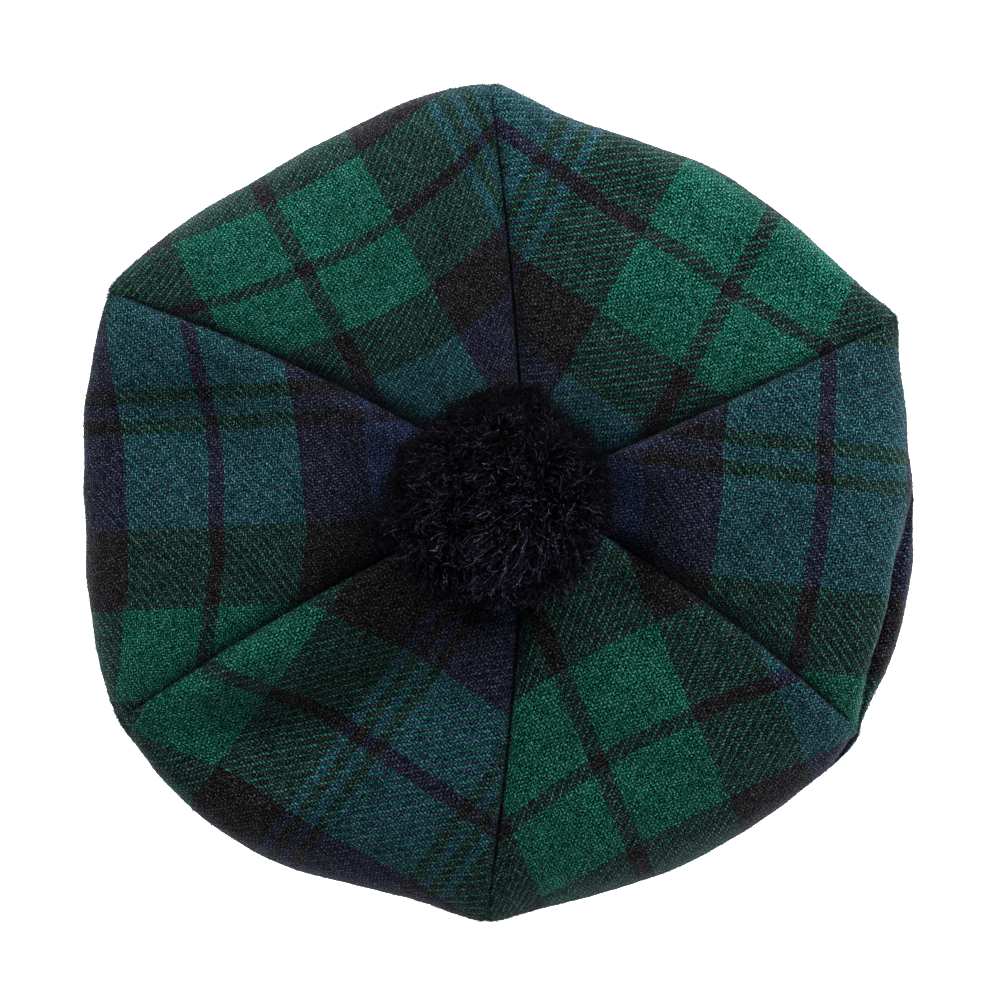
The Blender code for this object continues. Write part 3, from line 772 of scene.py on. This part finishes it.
def makeToorie(material):
    dice = np.random.default_rng(7)
    middle = np.array(toorie["middle"])
    count = toorie["strands"]
    k = np.arange(count) + 0.5
    z = 1.0 - (1.0 - toorie["lowest"]) * k / count
    turn = k * math.pi * (3.0 - math.sqrt(5.0))
    side = np.sqrt(1.0 - z * z)
    d = np.stack([side * np.cos(turn), side * np.sin(turn), z], -1)
    d = unit(d + dice.normal(size=(count, 3)) * toorie["scatter"])
    length = strandLength(d) * (1.0 + dice.normal(size=count) * toorie["uneven"])
    # where the strands are combed: a fan downwards from the whorl at the parting
    plan = toorieReach(d)[:, :2] - np.array(toorie["whorl"])
    far = np.linalg.norm(plan, axis=1)
    fan = smooth(-plan[:, 1] / 7.0) * smooth(far / 5.0) * smooth(d[:, 2] / 0.3)
    fan *= smooth((plan[:, 0] + 30.0) / 12.0) * (dice.uniform(size=count) < toorie["combedShare"])
    outward = np.concatenate([plan / np.maximum(far, 1e-6)[:, None], np.zeros((count, 1))], 1)
    clump = np.stack([softNoise(d, 0.3, 31 + axis) for axis in range(3)], -1)
    lean = outward * (toorie["combed"] * fan)[:, None] + toorie["clump"] * clump
    lean = lean + dice.normal(size=(count, 3)) * toorie["stray"]
    base = middle + toorieReach(d) * toorie["head"]
    knee = middle + toorieReach(unit(d + 0.15 * lean)) * mix(toorie["head"], length, 0.75)[:, None]
    tip = middle + toorieReach(unit(d + lean)) * length[:, None]
    low = 1.0 - (d[:, 2] * np.abs(d[:, 2]))
    tip[:, 2] -= toorie["droop"] * low
    knee[:, 2] -= 0.4 * toorie["droop"] * low
    # the cut ends bend over, neighbours much the same way
    over = np.stack([softNoise(d, 0.16, 51 + axis) for axis in range(3)], -1)
    over = over + dice.normal(size=(count, 3)) * 1.6
    over = unit(over - d * (over * d).sum(1)[:, None])
    over = over * (toorie["bend"] * dice.uniform(0.2, 1.0, count))[:, None]
    # four bundles: one combed, and the short ends at the back, the left and the right,
    # with how many rings a strand has
    short = fan < 0.3
    side = np.degrees(np.arctan2(d[:, 1], d[:, 0])) % 360.0
    bundles = {
        "toorie_combed_strands": (~short, 9),
        "toorie_back_strands": (short & (side >= 40.0) & (side < 150.0), 7),
        "toorie_left_strands": (short & (side >= 150.0) & (side < 255.0), 7),
        "toorie_right_strands": (short & ((side >= 255.0) | (side < 40.0)), 7),
    }
    for name, (chosen, rings) in bundles.items():
        v = np.linspace(0.0, 1.0, rings)[None, :, None]
        path = (base[chosen][:, None] * (1.0 - v) ** 2 + 2.0 * knee[chosen][:, None] * v * (1.0 - v)
                + tip[chosen][:, None] * v ** 2)
        many = chosen.sum()
        stiff = smooth(fan[chosen])[:, None, None]
        path = path + over[chosen][:, None] * v ** 3 * (1.0 - 0.7 * stiff)
        start = dice.uniform(0.0, 2.0 * math.pi, (many, 1, 3))
        curl = np.sin(start + v * dice.uniform(*toorie["curls"], (many, 1, 3)))
        path = path + curl * np.sqrt(v) * toorie["curl"] * (1.0 - 0.25 * stiff)
        path[..., 2] = np.maximum(path[..., 2], toorie["foot"])
        taper = np.array([1.0] * (rings - 1) + [0.6])
        thick = toorie["yarn"] * dice.uniform(0.7, 1.25, (many, 1)) * taper[None]
        flatVerts, faces = tubes(path, thick)
        # tones differ at random, and the combed strands are painted paler as a painted sheen
        tone = dice.uniform(0.0, 1.0, many) ** toorie["fewPale"] * mix(0.9, 1.2, smooth(fan[chosen]))
        # painted light and shade: paler towards the front and a little to the right, darker towards the
        # back
        tone = tone * np.exp(d[chosen, :2] @ np.array(toorie["paintedLightWay"]))
        # painted shade: darker on the sides and below, lighter on top
        tone = tone * mix(1.0 - toorie["paintedShadeOnSides"], 1.0, smooth(d[chosen, 2]))
        # more painted sheen on the combed side, away from the top
        toward, spread, more = toorie["paintedSheenOnCombed"]
        fromTop = smooth(np.hypot(d[chosen, 0], d[chosen, 1]) / 0.6)
        tone = tone * np.exp(more * bell((side[chosen] - toward) / spread) * fromTop)
        each = rings * tubeSides + 1
        reach = np.concatenate([np.repeat(v.ravel(), tubeSides), [1.0]])
        strand = np.stack([np.repeat(tone, each), np.tile(reach, many)], -1)
        addPiece(name, flatVerts * mm, faces, material, ["toorie"], {"strand": strand})
        print(name, many, "strands")


def makeToorieHead(material):
    # The bound middle of the toorie, which shows only as the dark between the strands.
    rows, cols = 24, 48
    tilt, turn = np.meshgrid(np.linspace(0.0, math.pi, rows + 1)[1:-1],
                             np.linspace(0.0, 2.0 * math.pi, cols, endpoint=False), indexing="ij")
    ball = np.stack([np.sin(tilt) * np.cos(turn), np.sin(tilt) * np.sin(turn), np.cos(tilt)], -1)
    ball = np.concatenate([ball.reshape(-1, 3), [[0.0, 0.0, 1.0], [0.0, 0.0, -1.0]]])
    bumps = 1.0 + 0.03 * softNoise(ball, 0.3, 41)
    points = toorieReach(ball) * (toorie["head"] - 0.03) * bumps[:, None]
    points = np.array(toorie["middle"]) + points
    points[:, 2] = np.maximum(points[:, 2], toorie["foot"] - 0.2)
    r, c = [g.ravel() for g in np.meshgrid(np.arange(rows - 2), np.arange(cols), indexing="ij")]
    after = (c + 1) % cols
    quads = np.stack([r * cols + c, (r + 1) * cols + c, (r + 1) * cols + after, r * cols + after], -1)
    # the two ends close on one point each
    c = np.arange(cols)
    after = (c + 1) % cols
    last = (rows - 2) * cols
    top, bottom = np.full(cols, last + cols), np.full(cols, last + cols + 1)
    caps = np.concatenate([np.stack([top, c, after], -1),
                           np.stack([last + c, bottom, last + after], -1)])
    # the head takes the darkest tone and the painted shade of the roots
    strand = np.tile([[0.0, 0.0]], (len(points), 1))
    addPiece("toorie_bound_head", points * mm, [quads, caps], material, ["toorie"],
             {"strand": strand})


# Loose fibres that stand off the milled cloth, most of them seen against the floor.
fuzz = {
    "rim": 1640, "top": 160,     # how many on each gore, round the rim and on the top
    "rimRows": 5.0,              # how far from the rim, in rows of the cloth's mesh
    "thick": 0.04, "length": (0.7, 2.6), "rings": 4,
}


def looseFibre():
    # Single fibres of wool, a dull grey green, which blur the edge of the cap a little.
    material, tree = newMaterial("loose_wool_fibres")
    shader = addNode(tree, "BsdfPrincipled", links={
        "Base Color": srgb("#3c4c4a"), "Roughness": 0.8, "IOR": 1.54, "Specular IOR Level": 0.1,
        "Sheen Weight": 0.1, "Sheen Roughness": 0.4})
    addNode(tree, "OutputMaterial", links={0: shader})
    return material


def makeFuzz(index, material):
    dice = np.random.default_rng(70 + index)
    outer, normals = crownFaces[index]
    rimRow = crown["rowsTop"]
    row = np.concatenate([rimRow + dice.normal(0.0, fuzz["rimRows"], fuzz["rim"]),
                          dice.uniform(20.0, rimRow - 8.0, fuzz["top"])])
    row = np.clip(row, 1, rimRow + crown["rowsUnder"] - 2).astype(int)
    column = dice.integers(1, crown["columns"], len(row))
    along = outer[row + 1, column] - outer[row, column]
    across = outer[row, np.minimum(column + 1, crown["columns"])] - outer[row, column]
    root = outer[row, column] + along * dice.uniform(size=(len(row), 1))
    root = root + across * dice.uniform(size=(len(row), 1))
    up = normals[row, column]
    side = unit(dice.normal(size=(len(row), 3)))
    side = unit(side - up * (side * up).sum(1)[:, None])
    length = dice.uniform(*fuzz["length"], len(row))[:, None] * mm
    stand = dice.uniform(0.05, 0.9, (len(row), 1)) ** 1.5
    v = np.linspace(0.0, 1.0, fuzz["rings"])[None, :, None]
    bent = unit(np.cross(up, side))[:, None] * dice.normal(0.0, 0.35, (len(row), 1, 1)) * v ** 2
    rise = up[:, None] * stand[:, None] * v * (1.6 - v)
    path = root[:, None] + length[:, None] * (side[:, None] * v + rise + bent)
    path = path - up[:, None] * 0.1 * mm                 # each starts just inside the cloth
    radii = np.full(path.shape[:2], fuzz["thick"] * mm)
    verts, faces = tubes(path, radii)
    addPiece(goreNames[index] + "_loose_fibres", verts, faces, material, [goreNames[index]])


fibreMaterial = looseFibre()
for index in range(6):
    makeFuzz(index, fibreMaterial)
print("loose fibres raised")


yarnMaterial = toorieYarn()
makeToorieHead(yarnMaterial)
makeToorie(yarnMaterial)
print("toorie tied")


# The set: a plain pale floor, two soft lights at the back, a weak one at the right and a
# camera straight above. Sizes are in metres.
studio = {
    "cameraHeight": 3.0,
    "rimLevel": 0.024,           # the height at which the photo's frame is as wide as acrossPhoto
    "acrossPhoto": 0.33694, "middle": (0.0005, 0.0005),
    "floor": 12.0, "glow": 2.0,  # the floor shines, which lights the rim from below
    "sky": 0.225,
    # place, width, and power in watts
    "lights": {
        "softbox_back_left": ((-1.2, 1.25, 1.4), 1.7, 39.0),
        "softbox_back_right": ((1.35, 1.25, 1.4), 1.7, 48.0),
        "softbox_right": ((1.7, -0.8, 0.5), 1.2, 7.0),
    },
    "gamma": 0.8,                # a little more contrast, as in a product photo
}


def makeFloor():
    mesh = bpy.data.meshes.new("floor")
    h = studio["floor"] / 2.0
    mesh.from_pydata([(-h, -h, 0.0), (h, -h, 0.0), (h, h, 0.0), (-h, h, 0.0)], [], [(0, 1, 2, 3)])
    floor = bpy.data.objects.new("floor", mesh)
    bpy.context.scene.collection.objects.link(floor)
    material, tree = newMaterial("matt_white_paper")
    shader = addNode(tree, "BsdfPrincipled", links={
        "Base Color": srgb("#f4f4f4"), "Roughness": 1.0, "Specular IOR Level": 0.0,
        "Emission Color": srgb("#ffffff"), "Emission Strength": studio["glow"]})
    addNode(tree, "OutputMaterial", links={0: shader})
    mesh.materials.append(material)


def addLight(name, place, size, power):
    light = bpy.data.lights.new(name, "AREA")
    light.energy = power
    light.shape = "DISK"
    light.size = size
    lamp = bpy.data.objects.new(name, light)
    lamp.location = place
    lamp.rotation_euler = (-Vector(place)).to_track_quat("-Z", "Y").to_euler()
    lamp.visible_camera = False
    bpy.context.scene.collection.objects.link(lamp)


def makeCamera():
    camera = bpy.data.cameras.new("camera")
    camera.sensor_width = 36.0
    away = studio["cameraHeight"] - studio["rimLevel"]
    camera.lens = camera.sensor_width * away / studio["acrossPhoto"]
    camera.clip_start, camera.clip_end = 0.1, 50.0
    holder = bpy.data.objects.new("camera", camera)
    holder.location = (*studio["middle"], studio["cameraHeight"])
    bpy.context.scene.collection.objects.link(holder)
    bpy.context.scene.camera = holder


scene = bpy.context.scene
scene.view_settings.view_transform = "Standard"
scene.view_settings.gamma = studio["gamma"]
world = bpy.data.worlds.new("soft_white_room")
world.use_nodes = True
sky = world.node_tree.nodes["Background"]
sky.inputs["Color"].default_value = (1.0, 1.0, 1.0, 1.0)
sky.inputs["Strength"].default_value = studio["sky"]
scene.world = world
makeFloor()
for name, (place, size, power) in studio["lights"].items():
    addLight(name, place, size, power)
makeCamera()
print("floor, light and camera set")
